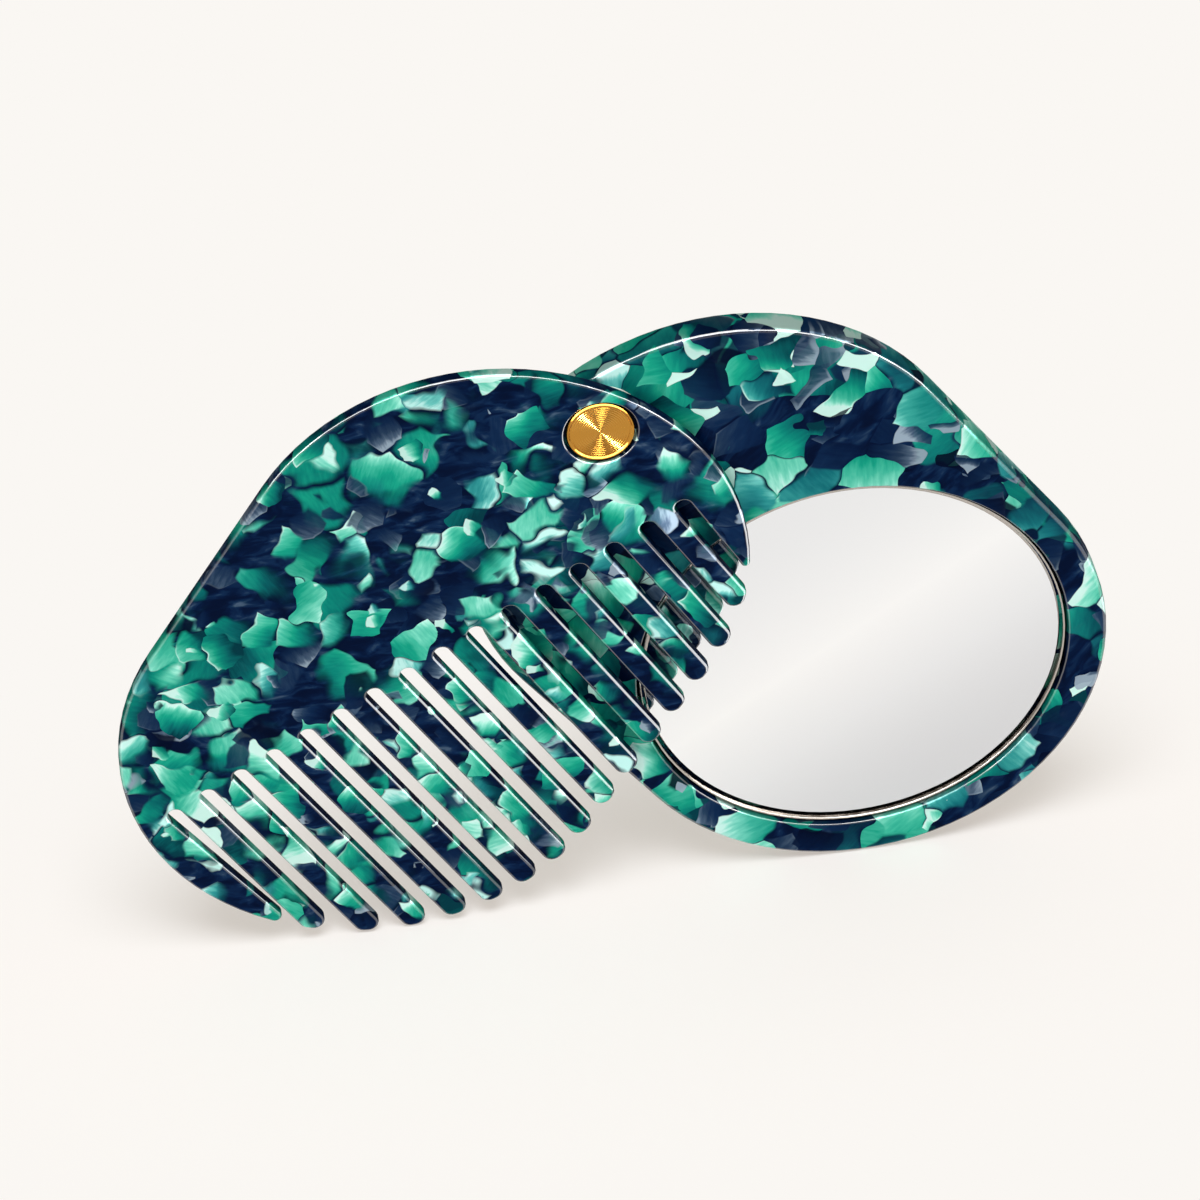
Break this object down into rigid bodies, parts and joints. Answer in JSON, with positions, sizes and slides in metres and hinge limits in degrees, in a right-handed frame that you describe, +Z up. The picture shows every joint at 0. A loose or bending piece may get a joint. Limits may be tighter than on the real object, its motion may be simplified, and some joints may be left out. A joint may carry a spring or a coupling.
{
  "type": "pocket mirror comb",
  "caption": "Folding pocket comb and round mirror: two flat plates of one outline turn on a brass pivot, one cut into teeth, one holding the mirror.",
  "frame": {"origin": "on the ground, under the middle of the opened part", "axes": "+Z up, +X from the comb towards the mirror plate, -Y out of the front, where the mirror and the pivot's head are"},
  "size_m": [0.129, 0.0066, 0.0892],
  "materials": {
    "acetate": "polished sheet with pearly chips of navy, slate, teal and mint",
    "mirror": "silvered glass",
    "steel": "polished",
    "brass": "spun face with a polished rim",
    "bronze": "dull spring strip",
    "nylon": "matt",
    "foam": "self-adhesive foam"
  },
  "bodies": {
    "mirror_side": {"mirror_plate": "acetate", "mirror_pad": "foam", "mirror_glass": "mirror", "mirror_bezel": "steel", "slip_washer": "nylon", "pivot_post": "brass", "pivot_screw": "brass"},
    "comb_side": {"comb_plate": "acetate", "spring_washer": "bronze"}
  },
  "joints": [
    {"name": "comb_swing", "type": "hinge", "parent": "mirror_side", "child": "comb_side", "pos_m": [0, 0, 0.07805], "axis": [0, -1, 0], "range_deg": [-110, 70]}
  ]
}
